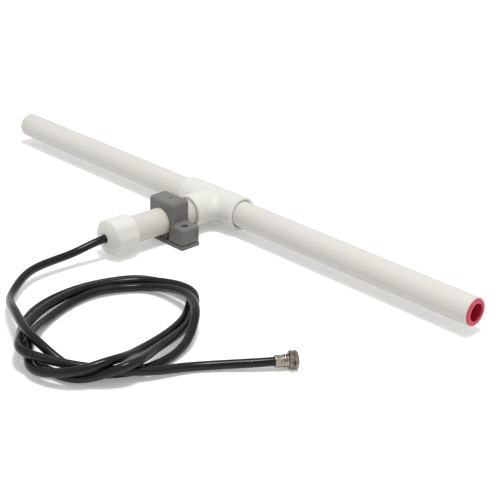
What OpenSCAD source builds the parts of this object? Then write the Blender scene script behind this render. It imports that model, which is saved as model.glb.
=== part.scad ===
// Dipole antenna in half inch plastic pipe: cross pipe, tee, stem, end cap, pipe clamp and free coaxial cable.
// Origin: on the clamp's base plane, straight below the stem axis, in front of the clamp's back face by clamp_back.
// X runs along the cross pipe, the stem points to -Y from the tee, Z is up. Millimetres.

/* [Pipes] */
// Outside diameter of every pipe
pipe_od = 21.3; // [19:0.1:24]
// Wall thickness of every pipe
pipe_wall = 2.8; // [2:0.1:3.4]
// Length of the cross pipe over both end plugs
cross_span = 516; // [300:1:900]
// Distance along the stem from the origin to the axis of the cross pipe
tee_y = 49.5; // [46:0.5:90]
// Distance along the stem from the origin to the foremost point of the end cap
cap_face = 65.8; // [58:0.1:110]

/* [Tee] */
// Wall of the tee round a pipe
tee_wall = 2.9; // [2.2:0.1:3.3]
// Distance from the middle of the tee to each end of its run
tee_half = 31; // [28:0.5:36]
// Distance from the middle of the tee to the end of its branch
tee_branch = 31; // [28:0.5:36]
// Depth of each socket in the tee
socket_depth = 17.5; // [12:0.5:19]
// Chamfer on the ends of the tee
tee_chamfer = 0.5; // [0.2:0.1:1]

/* [End cap] */
// Length of the end cap
cap_len = 24; // [20:0.5:30]
// Wall of the end cap at the middle of a flat
cap_wall = 2.9; // [2:0.1:4]
// Thickness of the closed end of the cap on its axis
cap_end_wall = 5.5; // [5:0.1:8]
// Corner radius of the eight-sided outside
cap_corner_r = 6; // [1:0.5:8]
// Radius of the domed front of the cap
cap_dome_r = 26; // [20:0.5:60]
// Rounding of the front edge of the cap
cap_edge = 3; // [0.6:0.1:4]

/* [End plugs] */
// Thickness of the rim that stays outside the pipe
plug_rim_t = 1.5; // [1:0.1:3]
// How far the rim stays inside the outside of the pipe
plug_rim_inset = 0.8; // [0.2:0.1:1.2]
// Length of the plug inside the pipe
plug_grip = 12; // [8:0.5:20]
// Wall of the plug round its recess
plug_wall = 1.4; // [1:0.1:2.5]
// Depth of the recess in the plug
plug_recess = 10; // [5:0.5:12]

/* [Clamp] */
// Height of the stem axis above the clamp's base plane
axis_h = 17; // [15.5:0.5:24]
// Distance from the origin to the front face of the clamp
clamp_front = 10.3; // [8:0.1:14]
// Distance from the origin to the back face of the clamp
clamp_back = 8; // [6:0.1:10]
// Thickness of the saddle above the pipe
crown_t = 7.3; // [4:0.1:10]
// Thickness of the left leg of the saddle
leg_t = 3.6; // [3.4:0.1:7]
// Thickness of the right side of the saddle above the lug
side_t = 3.8; // [3:0.1:7]
// Length of the lug from the side of the saddle
lug_len = 11.7; // [11:0.1:20]
// Height of the lug's top face above the base plane
lug_top = 17; // [12:0.5:18]
// Thickness of the base plate
base_t = 3; // [2:0.1:4]
// Gap between the lug and the base plate that the screw closes
lug_gap = 1; // [0.5:0.1:1.8]
// Diameter of the screw hole
screw_hole_d = 5; // [3.5:0.1:6]
// Distance from the lug's outer face to the middle of the screw hole
screw_inset = 5.9; // [5.5:0.1:7]
// Distance from the origin to the middle of the screw hole, towards the cap
screw_shift = 2.6; // [0:0.1:4]
// Outside diameter of the raised collar round the screw hole
collar_d = 8.4; // [7:0.1:10]
// Height of the raised collar
collar_h = 0.4; // [0.2:0.1:2]
// Edge rounding of the saddle
saddle_round = 3.4; // [1:0.1:3.4]
// Radius of the inside corner between saddle and lug
lug_fillet = 3; // [1:0.5:5]
// Depth of the recess in the lug's outer face
lug_recess = 0.8; // [0.4:0.1:1.5]
// Radial running gap between the stem pipe and the clamp
clamp_gap = 0.06; // [0.04:0.01:0.09]

/* [Cable] */
// Outside diameter of the cable
cable_d = 6.1; // [5:0.1:7.2]
// Gap all round the cable in the hole of the cap
cable_hole_gap = 0.1; // [0.05:0.05:0.4]
// Outside diameter of the cable tie inside the cap
tie_od = 8.6; // [7.6:0.1:10]
// Width of the cable tie
tie_w = 2.6; // [2:0.1:4]

/* [Connector] */
// Width of the coupling nut across its flats
nut_af = 11; // [11:0.1:12.5]
// Length of the coupling nut
nut_len = 6; // [5.5:0.1:12]
// Diameter of the threaded hole in the nut
nut_hole_d = 9.1; // [8.9:0.1:9.5]
// Outside diameter of the crimp sleeve
sleeve_d = 8.2; // [7.8:0.1:9]
// Length of the crimp sleeve
sleeve_len = 6.2; // [6:0.1:10]
// Length of the ringed neck between sleeve and nut
neck_len = 2.9; // [2.5:0.1:5]
// Diameter of the body inside the back of the nut
post_d = 7.4; // [6.8:0.1:7.6]
// Radial running gap between the nut and the body
nut_gap = 0.07; // [0.04:0.01:0.09]
// Diameter of the centre pin
pin_d = 1; // [0.8:0.1:1.2]

/* [Feed] */
// Diameter of each element rod
rod_d = 6; // [4:0.1:8]
// Gap between the outer end of each rod and the end plug
rod_end_gap = 8.5; // [2:0.5:60]
// Half the gap between the two rods
feed_half_gap = 2.5; // [1.5:0.1:3]
// Distance from the outer end of each rod to the middle of its centring disc
disc_inset = 56; // [10:1:80]
// Thickness of each centring disc
disc_t = 8; // [4:0.5:12]
// Diameter of the terminal screws
term_d = 2.6; // [2:0.1:3]
// Diameter of the heads of the terminal screws
term_head_d = 4.4; // [3.8:0.1:5]
// Height of the heads of the terminal screws
term_head_h = 1.6; // [1:0.1:2]
// Diameter of the leads
lead_d = 1.2; // [0.8:0.1:1.6]

/* [Part] */

/* [Hidden] */

round_n = 64;
small_n = 32;
eps = 0.01;

pipe_r = pipe_od / 2;
bore_r = pipe_r - pipe_wall;
tee_r = pipe_r + tee_wall;
stop_x = tee_half - socket_depth;
pipe_end = cross_span / 2 - plug_rim_t;
rod_reach = pipe_end - plug_grip - rod_end_gap;
disc_x = rod_reach - disc_inset;
stem_top = tee_y - tee_branch + socket_depth;
stem_low = -cap_face + cap_end_wall;
cap_rim = -cap_face + cap_len;
cap_flat_r = pipe_r + cap_wall;
cap_turned_r = (cap_flat_r - cap_corner_r) / cos(22.5) + cap_corner_r + 0.2;
edge_at = cap_turned_r - cap_edge;
edge_angle = asin(edge_at / (cap_dome_r - cap_edge));
edge_back = cap_dome_r - (cap_dome_r - cap_edge) * cos(edge_angle);

seat_r = pipe_r + clamp_gap;
saddle_left = seat_r + leg_t;
saddle_right = seat_r + side_t;
saddle_top = axis_h + seat_r + crown_t;
lug_end = saddle_right + lug_len;
screw_x = lug_end - screw_inset;
tongue_t = leg_t - 2.4;
tongue_h = 3;
tongue_w = 8;
pad_half = 6;

cable_r = cable_d / 2;
flat_y = bore_r - 2.6;
term_x = bore_r - term_head_d / 2 - 0.6;
ring_t = 0.8;
ring_r = term_head_d / 2 + 0.4;
coax_top = tee_y - stop_x - 3;

// Back face of the crimp sleeve, and the turn of the connector about Z
conn_at = [200.8, -87.9, nut_af / 2];
conn_turn = 58;
conn_dir = [cos(conn_turn), sin(conn_turn), 0];
cord_in = 1;
nut_at = sleeve_len + neck_len + 0.1;
nut_back = 1.4;
flange_t = 1;
post_front = nut_at + nut_back + 0.1 + flange_t;
core_r = 2.2;

// Route of the free cable from the face of the cap to the back of the connector body
route = [
    [0, -cap_face, axis_h],
    [-3.5, -90.5, 12],
    [-1.5, -132.5, 9.5],
    [17, -160.5, 7.5],
    [55, -183.5, 15.5],
    [95.5, -195.5, 15],
    [127, -187, 4],
    [148.5, -162.5, 3.5],
    [145.5, -114.5, 5],
    [129.5, -91, 14],
    [98.5, -74, 12],
    [62.5, -78.5, 4],
    [47.5, -104.5, 4],
    [58, -161, 3.5],
    [88, -196.5, 10],
    [109.5, -209.5, 6.5],
    [137, -198, 12],
    [146, -178.5, 15.5],
    [133.5, -145.5, 5.5],
    [111.5, -82.5, 3.5],
    [89, -61.5, 3.5],
    [50.5, -71, 3.5],
    [35, -104, 3.5],
    [43, -162.5, 3.5],
    [78.5, -195.5, 3.5],
    [139, -191.5, 5.5],
    [155, -170.5, 13.5],
    [143, -136, 8.5],
    [122, -88, 6],
    [101, -67, 10],
    [58, -74, 6],
    [41, -105, 5.5],
    [47.5, -154, 7],
    [70.5, -189, 9.5],
    [99.5, -208.5, 14],
    [122, -197.5, 11.5],
    [145.5, -176, 8.5],
    [157, -158.5, 6],
    [168, -131, 3.5],
    conn_at + cord_in * conn_dir
];

function unit(v) = v / norm(v);
function slope(p, i) =
    let (a = norm(p[i] - p[i - 1]), b = norm(p[i + 1] - p[i]))
    ((p[i] - p[i - 1]) / a * b + (p[i + 1] - p[i]) / b * a) / (a + b);
function slope_at(p, i, d0, d1) = i == 0 ? d0 : i == len(p) - 1 ? d1 : slope(p, i);
function blend(a, b, m, n, u) =
    let (d = norm(b - a))
    (2 * u * u * u - 3 * u * u + 1) * a + (u * u * u - 2 * u * u + u) * d * m
    + (3 * u * u - 2 * u * u * u) * b + (u * u * u - u * u) * d * n;
function smooth_path(p, d0, d1, steps) = [
    for (i = [0 : len(p) - 2])
        for (k = [0 : steps - 1])
            blend(p[i], p[i + 1], slope_at(p, i, d0, d1), slope_at(p, i + 1, d0, d1), k / steps),
    p[len(p) - 1]
];
function heading(c, i, d0, d1) =
    i == 0 ? d0 : i == len(c) - 1 ? d1 : unit(unit(c[i] - c[i - 1]) + unit(c[i + 1] - c[i]));

// Round tube through the points c, starting along d0 and ending along d1
module tube(c, r, sides, d0, d1) {
    n = len(c);
    pts = [
        for (i = [0 : n - 1])
            let (t = heading(c, i, d0, d1), s = unit(cross(t, [0, 0, 1])), u = cross(s, t))
            for (j = [0 : sides - 1])
                c[i] + r * (cos(360 * j / sides) * s + sin(360 * j / sides) * u)
    ];
    walls = [
        for (i = [0 : n - 2])
            for (j = [0 : sides - 1])
                let (a = i * sides + j, b = i * sides + (j + 1) % sides)
                for (f = [[a, b, b + sides], [a, b + sides, a + sides]])
                    f
    ];
    polyhedron(
        points = pts,
        faces = concat(
            [[for (j = [sides - 1 : -1 : 0]) j]],
            walls,
            [[for (j = [0 : sides - 1]) (n - 1) * sides + j]]
        )
    );
}

// Round bar along X from x0 to x1
module bar_x(r, x0, x1, n = round_n) {
    translate([x0, 0, 0])
        rotate([0, 90, 0])
            cylinder(r = r, h = x1 - x0, $fn = n);
}

// Round bar along Y from y0 to y1
module bar_y(r, y0, y1, n = round_n) {
    translate([0, y0, 0])
        rotate([-90, 0, 0])
            cylinder(r = r, h = y1 - y0, $fn = n);
}

module at_tee() {
    translate([0, tee_y, axis_h])
        children();
}

module at_stem() {
    translate([0, 0, axis_h])
        children();
}

module at_connector() {
    translate(conn_at)
        rotate([0, 0, conn_turn])
            rotate([0, 90, 0])
                children();
}

module half_pipe() {
    at_tee()
        difference() {
            bar_x(pipe_r, stop_x, pipe_end);
            bar_x(bore_r, stop_x - 1, pipe_end + 1);
        }
}

module pipe_right() {
    color([0.86, 0.84, 0.78])
        half_pipe();
}

module pipe_left() {
    color([0.86, 0.84, 0.78])
        mirror([1, 0, 0])
            half_pipe();
}

// Outside of one end of the tee, with its chamfer, along Z
module tee_arm(len) {
    cylinder(r = tee_r, h = len - tee_chamfer, $fn = round_n);
    translate([0, 0, len - tee_chamfer - eps])
        cylinder(r1 = tee_r, r2 = tee_r - tee_chamfer, h = tee_chamfer + eps, $fn = round_n);
}

module tee_fitting() {
    color([0.93, 0.93, 0.93])
        at_tee()
            difference() {
                union() {
                    rotate([0, 90, 0])
                        tee_arm(tee_half);
                    rotate([0, -90, 0])
                        tee_arm(tee_half);
                    rotate([90, 0, 0])
                        tee_arm(tee_branch);
                }
                bar_x(bore_r, -tee_half, tee_half);
                bar_y(bore_r, -tee_branch, 0);
                bar_x(pipe_r, stop_x, tee_half + 1);
                bar_x(pipe_r, -tee_half - 1, -stop_x);
                bar_y(pipe_r, -tee_branch - 1, -tee_branch + socket_depth);
            }
}

module stem_pipe() {
    color([0.86, 0.84, 0.78])
        at_stem()
            difference() {
                bar_y(pipe_r, stem_low, stem_top);
                bar_y(bore_r, stem_low - 1, stem_top + 1);
            }
}

// Eight-sided outline of the cap with its corners rounded and one corner at the top
module cap_outline() {
    offset(r = cap_corner_r, $fn = small_n)
        offset(delta = -cap_corner_r)
            rotate(22.5)
                intersection() {
                    square(2 * cap_flat_r, center = true);
                    rotate(45)
                        square(2 * cap_flat_r, center = true);
                }
}

// Half section of the cap's outside: domed front from z = 0, rounded edge, straight side, eased rim
module cap_section() {
    dome = [
        for (i = [0 : 6])
            let (a = edge_angle * i / 6)
            [cap_dome_r * sin(a), cap_dome_r * (1 - cos(a))]
    ];
    edge = [
        for (i = [1 : 4])
            let (a = edge_angle + (90 - edge_angle) * i / 4)
            [edge_at + cap_edge * sin(a), edge_back - cap_edge * cos(a)]
    ];
    rim = [[cap_turned_r, cap_len - 1.2], [cap_turned_r - 1.2, cap_len], [0, cap_len]];
    polygon(concat(dome, edge, rim));
}

// Cap along Z with the foremost point of its front at z = 0
module cap_outside() {
    intersection() {
        linear_extrude(height = cap_len)
            cap_outline();
        rotate([0, 0, 11.25])
            rotate_extrude($fn = round_n)
                cap_section();
    }
}

module end_cap() {
    color([0.93, 0.93, 0.93])
        at_stem()
            difference() {
                translate([0, -cap_face, 0])
                    rotate([-90, 0, 0])
                        cap_outside();
                bar_y(pipe_r, stem_low, cap_rim + 1);
                bar_y(cable_r + cable_hole_gap, -cap_face - 1, stem_low + 1, small_n);
            }
}

module plug() {
    at_tee()
        difference() {
            union() {
                bar_x(bore_r, pipe_end - plug_grip, pipe_end + eps);
                bar_x(pipe_r - plug_rim_inset, pipe_end, cross_span / 2 - 0.5);
                translate([cross_span / 2 - 0.5 - eps, 0, 0])
                    rotate([0, 90, 0])
                        cylinder(
                            r1 = pipe_r - plug_rim_inset,
                            r2 = pipe_r - plug_rim_inset - 0.5,
                            h = 0.5 + eps,
                            $fn = round_n
                        );
            }
            bar_x(bore_r - plug_wall, cross_span / 2 - plug_recess, cross_span / 2 + 1);
        }
}

module end_plug_right() {
    color([0.88, 0.3, 0.42])
        plug();
}

module end_plug_left() {
    color([0.88, 0.3, 0.42])
        mirror([1, 0, 0])
            plug();
}

// Front outline of the saddle and its lug before the openings are cut
module saddle_outline() {
    offset(r = -lug_fillet, $fn = small_n)
        offset(delta = lug_fillet)
            offset(r = saddle_round, $fn = small_n)
                offset(delta = -saddle_round) {
                    translate([-saddle_left, -10])
                        square([saddle_left + saddle_right, saddle_top + 10]);
                    translate([0, -10])
                        square([lug_end, lug_top + 10]);
                }
}

// Outline of the saddle seen from the side, with its top edges rounded
module saddle_side() {
    offset(r = saddle_round, $fn = small_n)
        offset(delta = -saddle_round)
            translate([-clamp_front, -10])
                square([clamp_front + clamp_back, saddle_top + 10]);
}

module clamp_saddle() {
    color([0.5, 0.5, 0.5])
        difference() {
            union() {
                intersection() {
                    translate([0, clamp_back, 0])
                        rotate([90, 0, 0])
                            linear_extrude(height = clamp_front + clamp_back)
                                saddle_outline();
                    translate([-saddle_left - 1, 0, 0])
                        rotate([90, 0, 90])
                            linear_extrude(height = saddle_left + lug_end + 2)
                                saddle_side();
                }
                translate([screw_x, -screw_shift, lug_top - 1])
                    cylinder(r = collar_d / 2, h = collar_h + 1, $fn = small_n);
            }
            translate([-saddle_left - 1, -clamp_front - 1, -20])
                cube([saddle_left + seat_r + 1, clamp_front + clamp_back + 2, 20 + base_t]);
            translate([seat_r - 1, -clamp_front - 1, -20])
                cube([lug_end, clamp_front + clamp_back + 2, 20 + base_t + lug_gap]);
            at_stem()
                bar_y(seat_r, -clamp_front - 1, clamp_back + 1);
            translate([-seat_r, -clamp_front - 1, -1])
                cube([2 * seat_r, clamp_front + clamp_back + 2, axis_h + 1]);
            translate([-seat_r - leg_t / 2 - tongue_t / 2 - 0.1, -tongue_w / 2 - 0.1, 0])
                cube([tongue_t + 0.2, tongue_w + 0.2, base_t + tongue_h + 0.2]);
            translate([screw_x, -screw_shift, 0])
                cylinder(r = screw_hole_d / 2, h = saddle_top, $fn = small_n);
            translate([lug_end - lug_recess, -clamp_front + 3, base_t + lug_gap + 2.5])
                cube([lug_recess + 1, clamp_front + clamp_back - 6, lug_top - base_t - lug_gap - 5.5]);
            translate([0.2, -1.8, saddle_top - 1.5])
                cube([2.4, 1.6, 3]);
        }
}

module clamp_base() {
    color([0.45, 0.45, 0.45])
        difference() {
            union() {
                linear_extrude(height = base_t)
                    offset(r = 1.5, $fn = small_n)
                        translate([-saddle_left + 1.5, -clamp_front + 1.5])
                            square([saddle_left + lug_end - 3, clamp_front + clamp_back - 3]);
                translate([-pad_half, -clamp_front + 2, base_t - 1])
                    cube([2 * pad_half, clamp_front + clamp_back - 4, axis_h - seat_r * 0.83 - base_t + 1]);
                translate([-seat_r - leg_t / 2 - tongue_t / 2, -tongue_w / 2, base_t - 1])
                    cube([tongue_t, tongue_w, tongue_h + 1]);
            }
            at_stem()
                bar_y(seat_r, -clamp_front - 1, clamp_back + 1);
            translate([screw_x, -screw_shift, -1])
                cylinder(r = screw_hole_d / 2, h = base_t + 2, $fn = small_n);
        }
}

module half_rod() {
    at_tee()
        difference() {
            bar_x(rod_d / 2, feed_half_gap, rod_reach, small_n);
            translate([term_x, 0, 0])
                bar_y(term_d / 2, -rod_d, -0.8, small_n);
        }
}

module element_rod_right() {
    color([0.8, 0.8, 0.82])
        half_rod();
}

module element_rod_left() {
    color([0.8, 0.8, 0.82])
        mirror([1, 0, 0])
            half_rod();
}

module feed_block() {
    color([0.9, 0.88, 0.8])
        at_tee()
            difference() {
                bar_x(bore_r, -stop_x + 1, stop_x - 1);
                translate([-stop_x, -pipe_od - flat_y, -pipe_od])
                    cube([2 * stop_x, pipe_od, 2 * pipe_od]);
                bar_x(rod_d / 2, feed_half_gap, stop_x, small_n);
                bar_x(rod_d / 2, -stop_x, -feed_half_gap, small_n);
                for (s = [-1, 1])
                    translate([s * term_x, 0, 0])
                        bar_y(term_d / 2, -bore_r, 0, small_n);
            }
}

module term_screw() {
    at_tee()
        translate([term_x, 0, 0])
            difference() {
                union() {
                    bar_y(term_d / 2, -flat_y - ring_t - 0.5, -0.8, small_n);
                    bar_y(term_head_d / 2, -flat_y - ring_t - term_head_h, -flat_y - ring_t, small_n);
                }
                translate([-0.3, -flat_y - ring_t - term_head_h - 1, -term_head_d])
                    cube([0.6, 1.7, 2 * term_head_d]);
            }
}

module terminal_screw_right() {
    color([0.78, 0.66, 0.36])
        term_screw();
}

module terminal_screw_left() {
    color([0.78, 0.66, 0.36])
        mirror([1, 0, 0])
            term_screw();
}

// Ring terminal under the right screw and its lead down to the cable's end
module pigtail() {
    y_ring = -flat_y - ring_t / 2;
    y_end = coax_top - tee_y;
    leads = [
        [term_x, y_ring, -ring_r - lead_d / 2 + 0.4],
        [term_x - 0.6, y_ring - 3, -ring_r - 0.4],
        [2.6, y_end + 2.6, -1.6],
        [1.2, y_end, -0.4]
    ];
    at_tee() {
        translate([term_x, 0, 0])
            difference() {
                bar_y(ring_r, -flat_y - ring_t, -flat_y, small_n);
                bar_y(term_d / 2, -flat_y - ring_t - 1, -flat_y + 1, small_n);
            }
        tube(smooth_path(leads, [0, -1, 0], [0, -1, 0], 3), lead_d / 2, 10, [0, -1, 0], [0, -1, 0]);
    }
}

module pigtail_braid() {
    color([0.72, 0.45, 0.3])
        pigtail();
}

module pigtail_core() {
    color([0.72, 0.45, 0.3])
        mirror([1, 0, 0])
            pigtail();
}

module spacer() {
    at_tee()
        difference() {
            bar_x(bore_r, disc_x - disc_t / 2, disc_x + disc_t / 2);
            bar_x(rod_d / 2, disc_x - disc_t, disc_x + disc_t, small_n);
        }
}

module spacer_right() {
    color([0.8, 0.8, 0.8])
        spacer();
}

module spacer_left() {
    color([0.8, 0.8, 0.8])
        mirror([1, 0, 0])
            spacer();
}

module inner_coax() {
    color([0.06, 0.06, 0.06])
        at_stem()
            bar_y(cable_r, -cap_face, coax_top, small_n);
}

module cable_tie() {
    color([0.9, 0.9, 0.88])
        at_stem()
            difference() {
                union() {
                    bar_y(tie_od / 2, stem_low, stem_low + tie_w, small_n);
                    translate([-1.8, stem_low, 0])
                        cube([3.6, tie_w, bore_r - 1]);
                }
                bar_y(cable_r, stem_low - 1, stem_low + tie_w + 1, small_n);
            }
}

module coax_cord() {
    color([0.06, 0.06, 0.06])
        tube(smooth_path(route, [0, -1, 0], conn_dir, 2), cable_r, 10, [0, -1, 0], conn_dir);
}

module crimp_sleeve() {
    color([0.7, 0.67, 0.62])
        at_connector()
            difference() {
                union() {
                    cylinder(r1 = sleeve_d / 2 - 0.3, r2 = sleeve_d / 2, h = 0.6, $fn = small_n);
                    translate([0, 0, 0.6])
                        cylinder(r = sleeve_d / 2, h = sleeve_len - 0.6, $fn = small_n);
                }
                translate([0, 0, -1])
                    cylinder(r = cable_r + 0.15, h = sleeve_len + 2, $fn = small_n);
            }
}

module connector_body() {
    color([0.7, 0.67, 0.62])
        at_connector()
            difference() {
                union() {
                    translate([0, 0, cord_in])
                        cylinder(r = cable_r + 0.15, h = sleeve_len - cord_in + eps, $fn = small_n);
                    translate([0, 0, sleeve_len])
                        cylinder(r = sleeve_d / 2 + 0.3, h = neck_len * 0.3, $fn = small_n);
                    translate([0, 0, sleeve_len])
                        cylinder(r = post_d / 2, h = post_front - sleeve_len, $fn = small_n * 2);
                    translate([0, 0, sleeve_len + neck_len * 0.55])
                        cylinder(r = sleeve_d / 2 + 0.3, h = neck_len * 0.45, $fn = small_n);
                    translate([0, 0, post_front - flange_t])
                        cylinder(r = nut_hole_d / 2 - 0.2, h = flange_t, $fn = small_n);
                }
                translate([0, 0, cord_in + 1])
                    cylinder(r = core_r, h = post_front, $fn = small_n);
            }
}

module coupling_nut() {
    hex_r = nut_af / 2 / cos(30);
    color([0.72, 0.69, 0.64])
        at_connector()
            difference() {
                translate([0, 0, nut_at])
                    intersection() {
                        rotate([0, 0, 30])
                            cylinder(r = hex_r, h = nut_len, $fn = 6);
                        union() {
                            cylinder(r1 = hex_r - 0.6, r2 = hex_r, h = 0.5, $fn = round_n);
                            translate([0, 0, 0.5])
                                cylinder(r = hex_r, h = nut_len - 1, $fn = round_n);
                            translate([0, 0, nut_len - 0.5])
                                cylinder(r1 = hex_r, r2 = hex_r - 0.6, h = 0.5, $fn = round_n);
                        }
                    }
                translate([0, 0, nut_at - 1])
                    cylinder(r = post_d / 2 + nut_gap, h = nut_len, $fn = round_n);
                translate([0, 0, nut_at + nut_back])
                    cylinder(r = nut_hole_d / 2, h = nut_len, $fn = round_n);
            }
}

module dielectric() {
    color([0.93, 0.93, 0.9])
        at_connector()
            difference() {
                translate([0, 0, cord_in + 1])
                    cylinder(r = core_r, h = post_front - cord_in - 1, $fn = small_n);
                translate([0, 0, cord_in])
                    cylinder(r = pin_d / 2, h = post_front, $fn = small_n);
            }
}

module centre_pin() {
    color([0.75, 0.5, 0.32])
        at_connector()
            translate([0, 0, cord_in + 1])
                cylinder(r = pin_d / 2, h = nut_at + nut_len - 1 - cord_in, $fn = small_n);
}

pipe_left();
pipe_right();
tee_fitting();
stem_pipe();
end_cap();
end_plug_left();
end_plug_right();
clamp_saddle();
clamp_base();
element_rod_left();
element_rod_right();
feed_block();
terminal_screw_left();
terminal_screw_right();
pigtail_core();
pigtail_braid();
spacer_left();
spacer_right();
inner_coax();
cable_tie();
coax_cord();
crimp_sleeve();
connector_body();
coupling_nut();
dielectric();
centre_pin();
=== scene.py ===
import math

import bmesh
import bpy
from mathutils import Matrix, Vector


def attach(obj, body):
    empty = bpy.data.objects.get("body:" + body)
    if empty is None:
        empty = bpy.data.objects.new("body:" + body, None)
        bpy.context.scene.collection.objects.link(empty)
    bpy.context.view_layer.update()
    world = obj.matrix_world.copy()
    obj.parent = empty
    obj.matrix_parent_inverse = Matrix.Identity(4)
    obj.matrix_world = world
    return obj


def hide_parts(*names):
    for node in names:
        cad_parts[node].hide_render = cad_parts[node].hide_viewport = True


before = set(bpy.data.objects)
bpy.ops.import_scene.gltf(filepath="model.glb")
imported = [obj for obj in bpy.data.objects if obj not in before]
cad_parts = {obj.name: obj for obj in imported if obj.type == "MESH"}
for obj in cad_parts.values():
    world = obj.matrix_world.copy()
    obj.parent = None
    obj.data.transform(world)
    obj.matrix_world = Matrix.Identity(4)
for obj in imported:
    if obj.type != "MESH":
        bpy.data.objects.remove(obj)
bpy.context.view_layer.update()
MM = 0.001


def add_object(name, data):
    o = bpy.data.objects.new(name, data)
    bpy.context.scene.collection.objects.link(o)
    return o


# Camera: fitted to the photo, placed in metres.
cam_data = bpy.data.cameras.new("camera")
cam_data.lens = 86.83
cam_data.sensor_width = 36.0
cam_data.clip_start = 0.05
cam_data.clip_end = 20.0
camera = add_object("camera", cam_data)
CAM_RIGHT = Vector((0.70395843, 0.70917514, 0.03889918))
CAM_DOWN = Vector((0.31400777, -0.26163742, -0.91265820))
CAM_AHEAD = Vector((-0.63705702, 0.65468808, -0.40686837))
view_matrix = Matrix((CAM_RIGHT, -CAM_DOWN, -CAM_AHEAD)).transposed().to_4x4()
view_matrix.translation = Vector((0.657468, -0.583834, 0.382672))
camera.matrix_world = view_matrix
bpy.context.scene.camera = camera
bpy.context.scene.view_settings.view_transform = "Standard"


# Materials. Noise scales are per metre, bump depths in metres.
def principled(nt):
    return next(n for n in nt.nodes if n.type == "BSDF_PRINCIPLED")


def new_material(name):
    m = bpy.data.materials.new(name)
    m.use_nodes = True
    return m, m.node_tree, principled(m.node_tree)


def noise(nt, coord, scale, detail, rough, stretch=(1, 1, 1)):
    mp = nt.nodes.new("ShaderNodeMapping")
    mp.inputs["Scale"].default_value = stretch
    nt.links.new(coord, mp.inputs["Vector"])
    n = nt.nodes.new("ShaderNodeTexNoise")
    n.inputs["Scale"].default_value = scale
    n.inputs["Detail"].default_value = detail
    n.inputs["Roughness"].default_value = rough
    nt.links.new(mp.outputs["Vector"], n.inputs["Vector"])
    return n.outputs["Fac"]


def span(nt, value, a, b, lo=0.0, hi=1.0):
    r = nt.nodes.new("ShaderNodeMapRange")
    r.inputs["From Min"].default_value = a
    r.inputs["From Max"].default_value = b
    r.inputs["To Min"].default_value = lo
    r.inputs["To Max"].default_value = hi
    nt.links.new(value, r.inputs["Value"])
    return r.outputs["Result"]


def mix_colour(nt, fac, a, b, blend="MIX"):
    """Mixes two colours, each a tuple or a socket, by the socket fac."""
    m = nt.nodes.new("ShaderNodeMix")
    m.data_type = "RGBA"
    m.blend_type = blend
    nt.links.new(fac, m.inputs[0])
    for socket, value in ((m.inputs[6], a), (m.inputs[7], b)):
        if isinstance(value, tuple):
            socket.default_value = (*value, 1.0)
        else:
            nt.links.new(value, socket)
    return m.outputs[2]


def calc(nt, operation, *values):
    """Math node with its inputs set in order, each from a number or a socket."""
    node = nt.nodes.new("ShaderNodeMath")
    node.operation = operation
    for socket, value in zip(node.inputs, values):
        if isinstance(value, float):
            socket.default_value = value
        else:
            nt.links.new(value, socket)
    return node.outputs[0]


def bump(nt, shader, height, strength, distance):
    b = nt.nodes.new("ShaderNodeBump")
    b.inputs["Strength"].default_value = strength
    b.inputs["Distance"].default_value = distance
    nt.links.new(height, b.inputs["Height"])
    nt.links.new(b.outputs["Normal"], shader.inputs["Normal"])


def object_coord(nt):
    return nt.nodes.new("ShaderNodeTexCoord").outputs["Object"]


def plastic(
    name, light, dark, rough, grain=900.0, grain_depth=0.00004, stretch=(1, 1, 1), gloss=0.5, scatter=0.0,
):
    """Moulded or drawn plastic: soft blotches of tone, uneven gloss and a fine skin texture."""
    m, nt, s = new_material(name)
    c = object_coord(nt)
    broad = noise(nt, c, 28.0, 3.0, 0.5, stretch)
    fine = noise(nt, c, 240.0, 4.0, 0.6, stretch)
    tone = mix_colour(nt, span(nt, broad, 0.3, 0.7), light, dark)
    specks = span(nt, fine, 0.62, 0.74, 0.0, 0.35)
    tone = mix_colour(nt, specks, tone, tuple(0.82 * v for v in dark))
    nt.links.new(tone, s.inputs["Base Color"])
    nt.links.new(span(nt, fine, 0.3, 0.7, rough - 0.07, rough + 0.07), s.inputs["Roughness"])
    s.inputs["IOR"].default_value = 1.5
    s.inputs["Specular IOR Level"].default_value = gloss
    if scatter > 0:
        s.inputs["Subsurface Weight"].default_value = scatter
        s.inputs["Subsurface Radius"].default_value = (0.0012, 0.0010, 0.0008)
        s.inputs["Subsurface Scale"].default_value = 1.0
    bump(nt, s, noise(nt, c, grain, 3.0, 0.6, stretch), 0.5, grain_depth)
    return m


def tint(m, fac, scale):
    """Multiplies a plastic's own tone by scale where fac is 1."""
    socket = principled(m.node_tree).inputs["Base Color"]
    tone = socket.links[0].from_socket
    m.node_tree.links.new(mix_colour(m.node_tree, fac, tone, scale, "MULTIPLY"), socket)


def painted_recess_shade(m, centre, radius, scale):
    """Painted shade: darkens the part of a round piece about the X axis that lies within radius of the axis,
    where a recess lies in shadow.
    """
    nt = m.node_tree
    off = nt.nodes.new("ShaderNodeVectorMath")
    off.operation = "SUBTRACT"
    nt.links.new(object_coord(nt), off.inputs[0])
    off.inputs[1].default_value = [c * MM for c in centre]
    flat = nt.nodes.new("ShaderNodeVectorMath")
    flat.operation = "MULTIPLY"
    nt.links.new(off.outputs[0], flat.inputs[0])
    flat.inputs[1].default_value = (0.0, 1.0, 1.0)
    far = nt.nodes.new("ShaderNodeVectorMath")
    far.operation = "LENGTH"
    nt.links.new(flat.outputs[0], far.inputs[0])
    edge = 0.25
    shaded_recess_mask = span(nt, far.outputs["Value"], (radius + edge) * MM, (radius - edge) * MM)
    tint(m, shaded_recess_mask, scale)


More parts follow.
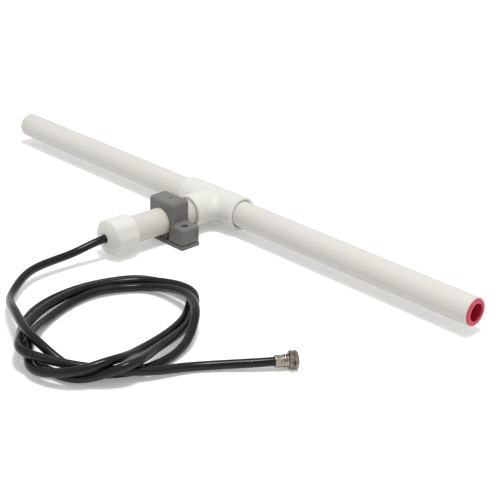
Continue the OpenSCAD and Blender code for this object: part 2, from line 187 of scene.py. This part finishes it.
def stained_band(m, middle, half, scale):
    """Stains a narrow uneven band round a pipe that runs along Y, half its width on each side of middle."""
    nt = m.node_tree
    c = object_coord(nt)
    wander = 3.0
    split = nt.nodes.new("ShaderNodeSeparateXYZ")
    nt.links.new(c, split.inputs[0])
    patchy = calc(nt, "MULTIPLY_ADD", noise(nt, c, 220.0, 2.0, 0.5), wander * MM, split.outputs["Y"])
    off = calc(nt, "SUBTRACT", patchy, (middle + wander / 2) * MM)
    away = calc(nt, "ABSOLUTE", off)
    tint(m, span(nt, away, half * MM, 0.3 * half * MM), scale)


def painted_side_shade(m, scale):
    """Painted shade: leaves faces that look up as they are and darkens the upright ones, as if they got less
    light.
    """
    nt = m.node_tree
    g = nt.nodes.new("ShaderNodeNewGeometry")
    split = nt.nodes.new("ShaderNodeSeparateXYZ")
    nt.links.new(g.outputs["Normal"], split.inputs[0])
    tint(m, span(nt, split.outputs["Z"], 0.9, 0.2), scale)


def metal(name, light, dark, rough, stretch=(1, 1, 1), depth=0.00002):
    """Plated or drawn metal: mottled tone and roughness with fine tool marks."""
    m, nt, s = new_material(name)
    c = object_coord(nt)
    broad = noise(nt, c, 180.0, 4.0, 0.6)
    marks = noise(nt, c, 1400.0, 4.0, 0.65, stretch)
    nt.links.new(mix_colour(nt, span(nt, broad, 0.35, 0.65), light, dark), s.inputs["Base Color"])
    nt.links.new(span(nt, marks, 0.3, 0.7, rough - 0.06, rough + 0.1), s.inputs["Roughness"])
    s.inputs["Metallic"].default_value = 1.0
    bump(nt, s, marks, 0.4, depth)
    return m


ALONG_X, ALONG_Y = (0.06, 1, 1), (1, 0.06, 1)
PIPE = plastic(
    "pipe_white", (0.755, 0.742, 0.70), (0.715, 0.70, 0.65), 0.60, 700.0, 0.00003, ALONG_X,
    gloss=0.3, scatter=0.12,
)
STEM = plastic(
    "stem_white", (0.70, 0.68, 0.63), (0.655, 0.63, 0.57), 0.60, 700.0, 0.00003, ALONG_Y,
    gloss=0.3, scatter=0.12,
)
FITTING = plastic(
    "fitting_white", (0.80, 0.795, 0.755), (0.765, 0.755, 0.70), 0.46, 500.0, gloss=0.4, scatter=0.12,
)
CLAMP = plastic("clamp_grey", (0.225, 0.219, 0.212), (0.168, 0.162, 0.152), 0.55, 1100.0, 0.00012)
PINK = plastic("plug_pink", (0.72, 0.05, 0.115), (0.60, 0.03, 0.08), 0.42, 700.0, scatter=0.1)
stained_band(STEM, middle=-10.6, half=2.2, scale=(0.97, 0.92, 0.79))
# Painted shade: the plug's recess is darkened to deep crimson, as if it lay in shadow.
painted_recess_shade(PINK, centre=(0, 49.5, 17), radius=6.8, scale=(0.62, 0.10, 0.24))
# Painted shade on the clamp: its upright faces are darkened as if less lit than its top.
painted_side_shade(CLAMP, scale=(0.80, 0.80, 0.80))
BLOCK = plastic("block_plastic", (0.72, 0.70, 0.60), (0.66, 0.64, 0.54), 0.5)
FOAM = plastic("spacer_foam", (0.70, 0.70, 0.69), (0.60, 0.60, 0.59), 0.9, 350.0, 0.0003)
NYLON = plastic("tie_nylon", (0.70, 0.68, 0.60), (0.64, 0.62, 0.55), 0.45)
CORE = plastic("core_insulation", (0.82, 0.82, 0.80), (0.76, 0.76, 0.74), 0.5)
NICKEL = metal("nickel_plate", (0.47, 0.42, 0.355), (0.19, 0.16, 0.13), 0.31)
ALU = metal("rod_aluminium", (0.78, 0.78, 0.80), (0.70, 0.70, 0.72), 0.32, (0.05, 1, 1))
BRASS = metal("screw_brass", (0.76, 0.58, 0.28), (0.66, 0.49, 0.22), 0.3)
COPPER = metal("lead_copper", (0.80, 0.42, 0.25), (0.66, 0.33, 0.19), 0.3)


def jacket_material():
    """Black cable jacket: satin black with dusty streaks and slow waves from the extruder."""
    m, nt, s = new_material("cable_jacket_black")
    c = object_coord(nt)
    dust = noise(nt, c, 60.0, 5.0, 0.6)
    fine = noise(nt, c, 900.0, 4.0, 0.6)
    tone = mix_colour(nt, span(nt, dust, 0.45, 0.75), (0.0060, 0.0062, 0.0070), (0.014, 0.0145, 0.0165))
    nt.links.new(tone, s.inputs["Base Color"])
    nt.links.new(span(nt, fine, 0.3, 0.7, 0.20, 0.32), s.inputs["Roughness"])
    s.inputs["IOR"].default_value = 1.5
    s.inputs["Specular IOR Level"].default_value = 0.30
    bump(nt, s, noise(nt, c, 420.0, 3.0, 0.6), 0.5, 0.00005)
    return m


JACKET = jacket_material()


# Mesh helpers. Lengths are in millimetres until a vertex is made.
def finish_mesh(name, bm, material, body, nodes, sharp=35.0):
    """Makes a finished piece of a bmesh and frees it."""
    bmesh.ops.remove_doubles(bm, verts=bm.verts, dist=1e-7)
    return place(name, to_mesh(name, bm), material, body, nodes, sharp)


def to_mesh(name, bm):
    bmesh.ops.recalc_face_normals(bm, faces=bm.faces)
    me = bpy.data.meshes.new(name)
    bm.to_mesh(me)
    bm.free()
    return me


def place(name, me, material, body, nodes, sharp):
    """Puts a mesh on its body in place of CAD nodes; edges sharper than sharp degrees stay crisp."""
    me.materials.clear()
    me.materials.append(material)
    for p in me.polygons:
        p.use_smooth = True
    me.set_sharp_from_angle(angle=math.radians(sharp))
    o = add_object(name, me)
    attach(o, body)
    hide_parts(*nodes)
    return o


def loft(loops, closed=True):
    """Skin through equal-length loops. closed joins the last loop to the first, else both ends are capped."""
    bm = bmesh.new()
    rings = [[bm.verts.new(Vector(p) * MM) for p in loop] for loop in loops]
    n = len(rings[0])
    pairs = list(zip(rings, rings[1:]))
    if closed:
        pairs.append((rings[-1], rings[0]))
    for a, b in pairs:
        for i in range(n):
            j = (i + 1) % n
            bm.faces.new((a[i], a[j], b[j], b[i]))
    if not closed:
        bm.faces.new(list(reversed(rings[0])))
        bm.faces.new(rings[-1])
    return bm


def ring(axis, at, r, n, centre):
    """Circle of n points about an axis through centre."""
    out = []
    for i in range(n):
        t = 2 * math.pi * i / n
        u, v = r * math.cos(t), r * math.sin(t)
        p = (at, u, v) if axis == "x" else (u, at, v) if axis == "y" else (u, v, at)
        out.append((p[0] + centre[0], p[1] + centre[1], p[2] + centre[2]))
    return out


def lathe(profile, axis, centre, n=96, closed=True):
    """Surface of revolution. profile is a list of (position along the axis, radius)."""
    return loft([ring(axis, a, r, n, centre) for a, r in profile], closed)


def solid(name, bm):
    return add_object(name, to_mesh(name, bm))


def box_mesh(lo, hi, width=0.0, segments=3):
    """Box between two corners, its edges rounded over width."""
    bm = bmesh.new()
    bmesh.ops.create_cube(bm, size=1.0)
    for v in bm.verts:
        v.co = Vector([(lo[k] if v.co[k] < 0 else hi[k]) * MM for k in range(3)])
    if width > 0:
        edges = list(bm.edges)
        bmesh.ops.bevel(bm, geom=edges, offset=width * MM, segments=segments, profile=0.5, affect="EDGES")
    return bm


def boolean(obj, others, operation):
    for other in others:
        m = obj.modifiers.new("cut", "BOOLEAN")
        m.operation = operation
        m.solver = "EXACT"
        m.object = other


def voxel(obj, size):
    m = obj.modifiers.new("skin", "REMESH")
    m.mode = "VOXEL"
    m.voxel_size = size * MM
    m.adaptivity = 0.0


def soften(obj, rounds):
    m = obj.modifiers.new("soften", "SMOOTH")
    m.factor = 0.5
    m.iterations = rounds


def bake(obj, helpers=()):
    """The object's mesh with its modifiers applied; the object and its helpers are removed."""
    bpy.context.view_layer.update()
    deps = bpy.context.evaluated_depsgraph_get()
    me = bpy.data.meshes.new_from_object(obj.evaluated_get(deps))
    for o in (obj, *helpers):
        old = o.data
        bpy.data.objects.remove(o)
        if old.users == 0:
            bpy.data.meshes.remove(old)
    return me


# Sizes that several pieces share.
PIPE_R, BORE_R, TEE_R = 10.65, 7.85, 13.55
PIPE_IN, PIPE_END = 13.5, 256.5
AXIS_H, TEE_Y, CAP_FACE = 17.0, 49.5, 65.8
TEE_C = (0.0, TEE_Y, AXIS_H)
TEE_HALF, TEE_FILLET = 31.0, 9.0
STEM_C = (0.0, 0.0, AXIS_H)
STEM_FRONT, STEM_BACK = -60.3, 36.0
CONN_AT = Vector((200.8, -87.9, 5.5))
CONN_TURN = math.radians(58.0)
CONN_DIR = Vector((math.cos(CONN_TURN), math.sin(CONN_TURN), 0.0))
CORD_R = 3.05
CORD_OUT = Vector((0, -1, 0))
CORD_IN = 1.0

# Free cable, from the end cap to the connector.
ROUTE = [
    (0, -65.8, 17), (-3.5, -90.5, 12), (-1.5, -132.5, 9.5), (17, -160.5, 7.5), (55, -183.5, 15.5),
    (95.5, -195.5, 15), (127, -187, 4), (148.5, -162.5, 3.5), (145.5, -114.5, 5), (129.5, -91, 14),
    (98.5, -74, 12), (62.5, -78.5, 4), (47.5, -104.5, 4), (58, -161, 3.5), (88, -196.5, 10),
    (109.5, -209.5, 6.5), (137, -198, 12), (146, -178.5, 15.5), (133.5, -145.5, 5.5), (111.5, -82.5, 3.5),
    (89, -61.5, 3.5), (50.5, -71, 3.5), (35, -104, 3.5), (43, -162.5, 3.5), (78.5, -195.5, 3.5),
    (139, -191.5, 5.5), (155, -170.5, 13.5), (143, -136, 8.5), (122, -88, 6), (101, -67, 10),
    (58, -74, 6), (41, -105, 5.5), (47.5, -154, 7), (70.5, -189, 9.5), (99.5, -208.5, 14),
    (122, -197.5, 11.5), (145.5, -176, 8.5), (157, -158.5, 6), (168, -131, 3.5),
]


def smooth_path(points, d0, d1, steps):
    """Curve through all points with steps parts between two of them, d0 and d1 its end directions."""
    p = [Vector(q) for q in points]
    n = len(p)

    def slope(i):
        if i == 0:
            return d0
        if i == n - 1:
            return d1
        a, b = (p[i] - p[i - 1]).length, (p[i + 1] - p[i]).length
        return ((p[i] - p[i - 1]) / a * b + (p[i + 1] - p[i]) / b * a) / (a + b)

    out = []
    for i in range(n - 1):
        d, m0, m1 = (p[i + 1] - p[i]).length, slope(i), slope(i + 1)
        for k in range(steps):
            u = k / steps
            out.append(
                (2 * u**3 - 3 * u * u + 1) * p[i] + (u**3 - 2 * u * u + u) * d * m0
                + (3 * u * u - 2 * u**3) * p[i + 1] + (u**3 - u * u) * d * m1
            )
    out.append(p[-1])
    return out


def tube(points, r, sides, d0, d1):
    """Round tube about a line of points, its end faces square to d0 and d1."""
    loops = []
    for i, c in enumerate(points):
        t = d0 if i == 0 else d1 if i == len(points) - 1 else (points[i + 1] - points[i - 1]).normalized()
        s = t.cross(Vector((0, 0, 1))).normalized()
        u = s.cross(t)
        turns = [2 * math.pi * j / sides for j in range(sides)]
        loops.append([tuple(c + r * (math.cos(a) * s + math.sin(a) * u)) for a in turns])
    return loft(loops, False)


cord_line = smooth_path([*ROUTE, tuple(CONN_AT + CORD_IN * CONN_DIR)], CORD_OUT, CONN_DIR, 14)
cord = finish_mesh(
    "coax_cable", tube(cord_line, CORD_R - 0.02, 28, CORD_OUT, CONN_DIR), JACKET, "clamp",
    ["coax_cord"], 60.0,
)


# Connector. Stations are millimetres from the sleeve's back face.
def at_connector(bm):
    """Moves a mesh built along +X from the sleeve's back face onto the end of the cable."""
    m = Matrix.Translation(CONN_AT * MM) @ Matrix.Rotation(CONN_TURN, 4, "Z")
    bmesh.ops.transform(bm, matrix=m, verts=bm.verts)
    return bm


def polar_loft(stations, n=120):
    """Closed skin about the X axis. Each station is a place and a radius, or a function of the angle."""
    loops = []
    for a, radius in stations:
        loop = []
        for i in range(n):
            t = 2 * math.pi * i / n
            r = radius(t) if callable(radius) else radius
            loop.append((a, r * math.cos(t), r * math.sin(t)))
        loops.append(loop)
    return loft(loops)


def hexagon(af, limit, turn):
    """Radius of a hexagon af across its flats, cut back to a circle of radius limit."""
    def radius(t):
        w = (t + turn + math.pi / 6) % (math.pi / 3) - math.pi / 6
        return min(af / 2 / math.cos(w), limit)
    return radius


def crimp():
    """Crimp sleeve: a round tube pressed into a soft hexagon between its two ends."""
    back = [(0.0, 3.25), (0.0, 3.7), (0.12, 3.95), (0.35, 4.08), (0.8, 4.1)]
    turn = math.pi / 12
    flats = [(1.0, 7.75, 4.1), (1.3, 7.5, 4.1), (3.2, 7.45, 4.08), (5.0, 7.5, 4.1), (5.3, 7.75, 4.1)]
    waist = [(at, hexagon(af, limit, turn)) for at, af, limit in flats]
    front = [(5.5, 4.1), (5.85, 4.08), (6.08, 3.95), (6.2, 3.7), (6.2, 3.25)]
    return polar_loft(back + waist + front)


sleeve = finish_mesh("crimp_ring", at_connector(crimp()), NICKEL, "clamp", ["crimp_sleeve"], 25.0)

body_profile = [
    (6.2, 2.3), (6.2, 4.2), (6.3, 4.36), (6.5, 4.4), (6.8, 4.4), (6.95, 4.32), (7.1, 3.75), (7.6, 3.7),
    (7.75, 3.8), (7.85, 4.2), (8.1, 4.38), (8.5, 4.4), (8.8, 4.38), (9.0, 4.25), (9.1, 4.0), (9.1, 3.7),
    (10.7, 3.7), (10.7, 4.3), (11.7, 4.3), (11.7, 2.3),
]
neck = finish_mesh(
    "connector_neck", at_connector(lathe(body_profile, "x", (0, 0, 0), 72)), NICKEL, "clamp",
    ["connector_body"], 25.0,
)


def nut_mesh():
    """Six-sided nut with turned chamfers, a stepped bore and a helical thread."""
    af, hi, lo = 11.0, 6.36, 5.3
    turn = math.pi / 6
    back, front, groove = 9.2, 15.2, 12.4
    chamfer, neck_r, bore_r = 0.9, 3.78, 4.55
    st = [(back, neck_r), (back, lo - 0.35)]
    for k in range(9):
        u = k / 8
        st.append((back + chamfer * u, hexagon(af, lo + (hi - lo) * math.sin(u * math.pi / 2), turn)))
    for k in range(1, 4):
        st.append((back + chamfer + (groove - 0.35 - back - chamfer) * k / 4, hexagon(af, hi, turn)))
    st += [
        (groove - 0.35, hexagon(af, hi, turn)), (groove - 0.2, hexagon(af, 5.5, turn)), (groove, 5.1),
        (groove + 0.2, hexagon(af, 5.5, turn)), (groove + 0.35, hexagon(af, hi, turn)),
    ]
    for k in range(9):
        u = k / 8
        st.append((front - 1.0 + u, hexagon(af, lo + (hi - lo) * math.cos(u * math.pi / 2), turn)))
    st += [(front, 4.9), (front - 0.05, 4.75)]
    first, reach, steps = front - 0.25, 3.0, 48
    pitch, crest_r, depth = 0.794, 4.48, 0.17
    for k in range(steps + 1):
        a = first - reach * k / steps

        def thread(t, a=a):
            return crest_r + depth * abs(2 * (((first - a) / pitch + t / (2 * math.pi)) % 1.0) - 1)

        st.append((a, thread))
    st += [(front - 3.35, bore_r), (10.6, bore_r), (10.6, neck_r)]
    return polar_loft(st)


nut = finish_mesh("coupling_ring", at_connector(nut_mesh()), NICKEL, "nut", ["coupling_nut"], 28.0)


# Pipes
def pipe_mesh(axis, a, b, centre, n=128):
    """Pipe from a to b along an axis, its four end edges broken."""
    c = 0.3
    s = 1 if b > a else -1
    steps = 12
    profile = [(a, BORE_R + c), (a, PIPE_R - c), (a + s * c * 0.3, PIPE_R - c * 0.3), (a + s * c, PIPE_R)]
    profile += [(a + s * c + (b - a - 2 * s * c) * k / steps, PIPE_R) for k in range(1, steps)]
    profile += [
        (b - s * c, PIPE_R), (b - s * c * 0.3, PIPE_R - c * 0.3), (b, PIPE_R - c), (b, BORE_R + c),
        (b - s * c, BORE_R), (a + s * c, BORE_R),
    ]
    return lathe(profile, axis, centre, n)


for name, mesh, material, node in (
    ("cross_pipe_right", pipe_mesh("x", PIPE_IN, PIPE_END, TEE_C), PIPE, "pipe_right"),
    ("cross_pipe_left", pipe_mesh("x", -PIPE_IN, -PIPE_END, TEE_C), PIPE, "pipe_left"),
    ("stem_tube", pipe_mesh("y", STEM_FRONT, STEM_BACK, STEM_C), STEM, "stem_pipe"),
):
    finish_mesh(name, mesh, material, "antenna", [node])


def plug_mesh(s):
    """Push-in plug with a rolled rim, a tapered recess and a dished floor, on the side of the sign s."""
    rim, rec = 9.85, 6.45
    profile = [
        (244.6, 0.01), (244.6, 7.4), (245.0, 7.8), (256.4, 7.84), (256.5, rim - 0.1), (256.6, rim),
        (257.4, rim), (257.75, rim - 0.12), (257.95, rim - 0.45), (258.0, rim - 0.9), (258.0, rec + 1.0),
        (257.93, rec + 0.55), (257.7, rec + 0.2), (257.2, rec + 0.05), (249.2, rec - 0.2), (248.6, rec - 0.5),
        (248.3, rec - 1.2), (248.15, 2.5), (248.1, 0.01),
    ]
    return lathe([(s * x, r) for x, r in profile], "x", TEE_C, 96, False)


finish_mesh("plug_right", plug_mesh(1), PINK, "antenna", ["end_plug_right"])
finish_mesh("plug_left", plug_mesh(-1), PINK, "antenna", ["end_plug_left"])


# Tee
def bar(axis, a, b, r, centre, n=96):
    return lathe([(a, r), (b, r)], axis, centre, n, False)


def tee_blend(p):
    """Signed distance in millimetres from the tee's outside, filleted where run and branch meet."""
    x, y, z = p[0], p[1] - TEE_Y, p[2] - AXIS_H
    run, branch = math.hypot(y, z), math.hypot(x, z)
    a, b = run - TEE_R, branch - TEE_R
    if y > 0:
        return a
    facing = z * z / max(run * branch, 1e-6)
    k = TEE_FILLET * max(0.0, 1.0 - facing) * min(1.0, -y / 4.0)
    h = max(k - abs(a - b), 0.0) / k if k > 0.01 else 0.0
    return min(a, b) - h * h * k / 4


def swell(me):
    """Moves the side skin of the tee onto the filleted surface and leaves its three ends flat."""
    d = 0.02
    end = TEE_HALF - 1.0
    for v in me.vertices:
        p = [c / MM for c in v.co]
        if abs(p[0]) > end or p[1] - TEE_Y < -end:
            continue
        for _ in range(4):
            f = tee_blend(p)
            g = [(tee_blend([p[j] + (d if j == k else 0.0) for j in range(3)]) - f) / d for k in range(3)]
            n = sum(c * c for c in g)
            if n < 0.05:
                break
            p = [p[k] - f * g[k] / n for k in range(3)]
        v.co = Vector(p) * MM


def mouth(sign, axis):
    """Cutter for one socket: a snug bore that opens out at its mouth."""
    steps = [(PIPE_IN, PIPE_R + 0.1), (27.0, PIPE_R + 0.12), (31.2, PIPE_R + 0.75), (40.0, PIPE_R + 0.75)]
    return solid("socket", lathe([(sign * a, r) for a, r in steps], axis, TEE_C, 128, False))


def tee_mesh():
    run = solid("run", bar("x", -TEE_HALF, TEE_HALF, TEE_R, TEE_C, 128))
    branch = solid("branch", bar("y", -TEE_HALF, 0.0, TEE_R, TEE_C, 128))
    boolean(run, [branch], "UNION")
    voxel(run, 0.45)
    skin = add_object("skin", bake(run, [branch]))
    swell(skin.data)
    soften(skin, 2)
    cuts = [
        solid("bore_x", bar("x", -40.0, 40.0, BORE_R, TEE_C)),
        solid("bore_y", bar("y", -40.0, 0.0, BORE_R, TEE_C)),
        mouth(1, "x"), mouth(-1, "x"), mouth(-1, "y"),
    ]
    boolean(skin, cuts, "DIFFERENCE")
    return bake(skin, cuts)


place("tee_body", tee_mesh(), FITTING, "antenna", ["tee_fitting"], 40.0)

# End cap
CAP_FLAT_R, CAP_CORNER_R, DOME_R, DOME_EDGE = 13.55, 6.0, 26.0, 3.0
CAP_FAR_R = (CAP_FLAT_R - CAP_CORNER_R) / math.cos(math.radians(22.5)) + CAP_CORNER_R


def octagon(y, limit, arc=16):
    """Rounded eight-sided loop about the stem at y, a corner at the top, inside a circle of radius limit."""
    eighth = math.pi / 8
    c = (CAP_FLAT_R - CAP_CORNER_R) / math.cos(eighth)
    touch = math.atan2(CAP_CORNER_R * math.sin(eighth), c + CAP_CORNER_R * math.cos(eighth))
    out = []
    for i in range(8 * arc):
        t = 2 * math.pi * i / (8 * arc)
        w = abs((t + eighth) % (2 * eighth) - eighth)
        if w < touch:
            r = c * math.cos(w) + math.sqrt(CAP_CORNER_R**2 - (c * math.sin(w)) ** 2)
        else:
            r = CAP_FLAT_R / math.cos(eighth - w)
        r = min(r, limit)
        out.append((r * math.cos(t), y, AXIS_H + r * math.sin(t)))
    return out


def cap_mesh():
    """Eight-sided cap with a domed front, a cable hole, and a socket whose mouth is eased."""
    f = -CAP_FACE
    hole, uncut = 3.2, 99
    edge_at = CAP_FAR_R - DOME_EDGE
    edge_angle = math.asin(edge_at / (DOME_R - DOME_EDGE))
    edge_back = DOME_R - (DOME_R - DOME_EDGE) * math.cos(edge_angle)
    start = math.asin(3.9 / DOME_R)
    loops = [octagon(f + 5.5, hole), octagon(f + 0.9, hole), octagon(f + 0.5, 3.3), octagon(f + 0.32, 3.6)]
    for k in range(1, 9):
        a = start + (edge_angle - start) * k / 8
        loops.append(octagon(f + DOME_R * (1 - math.cos(a)), DOME_R * math.sin(a)))
    for k in range(1, 9):
        a = edge_angle + (math.pi / 2 - edge_angle) * k / 8
        loops.append(octagon(f + edge_back - DOME_EDGE * math.cos(a), edge_at + DOME_EDGE * math.sin(a)))
    for y, limit in (
        (8.0, uncut), (14.0, uncut), (20.0, uncut), (22.6, uncut), (23.2, 13.9), (23.6, 13.6), (23.9, 13.3),
        (24.0, 12.9), (24.0, 11.2), (23.8, 10.9), (23.3, 10.72), (5.5, 10.72),
    ):
        loops.append(octagon(f + y, limit))
    return loft(loops)


finish_mesh("cap_shell", cap_mesh(), FITTING, "antenna", ["end_cap"], 50.0)

# Clamp. LEFT, RIGHT, FRONT and BACK are its block's faces.
SEAT_R = PIPE_R + 0.06
LEFT, RIGHT = -(SEAT_R + 3.6), SEAT_R + 3.8
FRONT, BACK = -10.3, 8.0
LUG_END, LUG_TOP = RIGHT + 11.7, 17.0
SCREW_R, SCREW_C = 2.5, (LUG_END - 5.9, -2.6, 0)
TOP = AXIS_H + SEAT_R + 7.3


def corner_mesh(r, x, z, y0, y1):
    """Concave fillet of radius r between an upright face at x and a flat top at z."""
    arc = [(x + r - r * math.sin(math.pi * k / 16), z + r - r * math.cos(math.pi * k / 16)) for k in range(9)]
    outline = [(x - 2.0, z - 2.0), (x + r, z - 2.0), *arc, (x - 2.0, z + r)]
    return loft([[(u, y, v) for u, v in outline] for y in (y0, y1)], False)


def saddle_mesh():
    """Saddle with its lug: rounded block, hollow corner, stem seat, screw hole and low collar."""
    block = solid("block", box_mesh((LEFT, FRONT, -6.0), (RIGHT, BACK, TOP), 3.4, 6))
    lug = solid("lug", box_mesh((0.0, FRONT, -6.0), (LUG_END, BACK, LUG_TOP), 1.8, 4))
    sink = 0.15
    corner = solid("corner", corner_mesh(3.2, RIGHT - sink, LUG_TOP - sink, FRONT + 1.2, BACK - 1.2))
    boolean(block, [lug, corner], "UNION")
    voxel(block, 0.36)
    soften(block, 7)
    seat = SEAT_R + 0.15
    cuts = [
        solid("seat", bar("y", -20.0, 20.0, seat, STEM_C, 128)),
        solid("throat", box_mesh((-seat, -20.0, -10.0), (seat, 20.0, AXIS_H))),
        solid("foot", box_mesh((LEFT - 2.0, -20.0, -20.0), (SEAT_R - 1.0, 20.0, 3.0))),
        solid("gap", box_mesh((SEAT_R - 2.0, -20.0, -20.0), (LUG_END + 2.0, 20.0, 4.0))),
        solid("hole", bar("z", -10.0, 40.0, SCREW_R, SCREW_C, 48)),
        solid("panel", box_mesh((LUG_END - 0.8, FRONT + 3.0, 6.5), (LUG_END + 3.0, BACK - 3.0, 14.0), 0.5, 2)),
        solid("dimple", box_mesh((0.2, -1.8, TOP - 1.2), (2.6, -0.2, TOP + 2.0), 0.3, 2)),
    ]
    boolean(block, cuts, "DIFFERENCE")
    me = bake(block, [lug, corner, *cuts])
    collar_profile = [
        (16.6, SCREW_R), (17.15, SCREW_R), (17.35, 2.65), (17.4, 2.9), (17.4, 3.7), (17.3, 4.0), (17.05, 4.2),
        (16.6, 4.2),
    ]
    collar = solid("collar", lathe(collar_profile, "z", SCREW_C, 48))
    bm = bmesh.new()
    bm.from_mesh(me)
    bm.from_mesh(bake(collar))
    bm.to_mesh(me)
    bm.free()
    return me


def base_mesh():
    """Base plate with the pad that carries the stem."""
    plate = solid("plate", box_mesh((LEFT, FRONT, 0.0), (LUG_END, BACK, 3.0), 0.5, 3))
    pad = solid("pad", box_mesh((-6.0, FRONT + 2.0, 1.0), (6.0, BACK - 2.0, 8.1), 0.3, 2))
    boolean(plate, [pad], "UNION")
    cuts = [
        solid("cradle", bar("y", -20.0, 20.0, SEAT_R, STEM_C, 128)),
        solid("hole", bar("z", -10.0, 10.0, SCREW_R, SCREW_C, 48)),
    ]
    boolean(plate, cuts, "DIFFERENCE")
    return bake(plate, [pad, *cuts])


place("saddle", saddle_mesh(), CLAMP, "clamp", ["clamp_saddle"], 40.0)
place("base_plate", base_mesh(), CLAMP, "clamp", ["clamp_base"], 30.0)

# CAD pieces that stay as they are
KEPT = {
    "element_rod_left": ALU, "element_rod_right": ALU, "feed_block": BLOCK, "terminal_screw_left": BRASS,
    "terminal_screw_right": BRASS, "pigtail_core": COPPER, "pigtail_braid": COPPER, "spacer_left": FOAM,
    "spacer_right": FOAM, "inner_coax": JACKET, "cable_tie": NYLON, "dielectric": CORE, "centre_pin": COPPER,
}
for node_name, material in KEPT.items():
    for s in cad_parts[node_name].material_slots:
        s.material = material


# Floor and light. Rays from the camera, and glossy or clear ones, see the floor a little brighter than
# the rest do, so that it can be nearly white and still carry a soft shadow.
def floor_surface(shader, white, glow):
    shader.inputs["Base Color"].default_value = (white, white, white, 1.0)
    shader.inputs["Roughness"].default_value = 0.9
    shader.inputs["Specular IOR Level"].default_value = 0.0
    if glow:
        shader.inputs["Emission Color"].default_value = (1.0, 1.0, 1.0, 1.0)
        shader.inputs["Emission Strength"].default_value = glow
    return shader.outputs["BSDF"]


HALF, FLOOR_Z = 4, -0.0002
floor_mesh = bpy.data.meshes.new("floor")
corners = [(-HALF, -HALF, 0), (HALF, -HALF, 0), (HALF, HALF, 0), (-HALF, HALF, 0)]
floor_mesh.from_pydata(corners, [], [(0, 1, 2, 3)])
floor = add_object("floor", floor_mesh)
fm, fnt, fs = new_material("floor_white")
plain = floor_surface(fs, 0.80, 0.0)
bright = floor_surface(fnt.nodes.new("ShaderNodeBsdfPrincipled"), 0.98, 0.22)
ray = fnt.nodes.new("ShaderNodeLightPath").outputs
direct = calc(fnt, "MAXIMUM", ray["Is Camera Ray"], ray["Is Transmission Ray"])
choose = fnt.nodes.new("ShaderNodeMixShader")
fnt.links.new(calc(fnt, "MAXIMUM", direct, ray["Is Glossy Ray"]), choose.inputs["Fac"])
fnt.links.new(plain, choose.inputs[1])
fnt.links.new(bright, choose.inputs[2])
surface = next(n for n in fnt.nodes if n.type == "OUTPUT_MATERIAL")
fnt.links.new(choose.outputs["Shader"], surface.inputs["Surface"])
floor_mesh.materials.append(fm)
floor.location.z = FLOOR_Z

world = bpy.data.worlds.new("world")
bpy.context.scene.world = world
world.use_nodes = True
background = world.node_tree.nodes["Background"]
background.inputs["Color"].default_value = (1.0, 1.0, 1.0, 1.0)
background.inputs["Strength"].default_value = 0.585


def area(name, at, to, size, power):
    """Round lamp at one point that looks at another."""
    data = bpy.data.lights.new(name, "AREA")
    data.shape = "DISK"
    data.size = size
    data.energy = power
    o = add_object(name, data)
    o.location = at
    o.rotation_euler = (Vector(to) - Vector(at)).to_track_quat("-Z", "Y").to_euler()


area("key", at=(0.32, -0.12, 1.8), to=(0.06, -0.05, 0.0), size=0.45, power=17.5)
area("fill", at=(-0.5, -1.4, 1.0), to=(0.03, -0.05, 0.0), size=1.0, power=0.8)
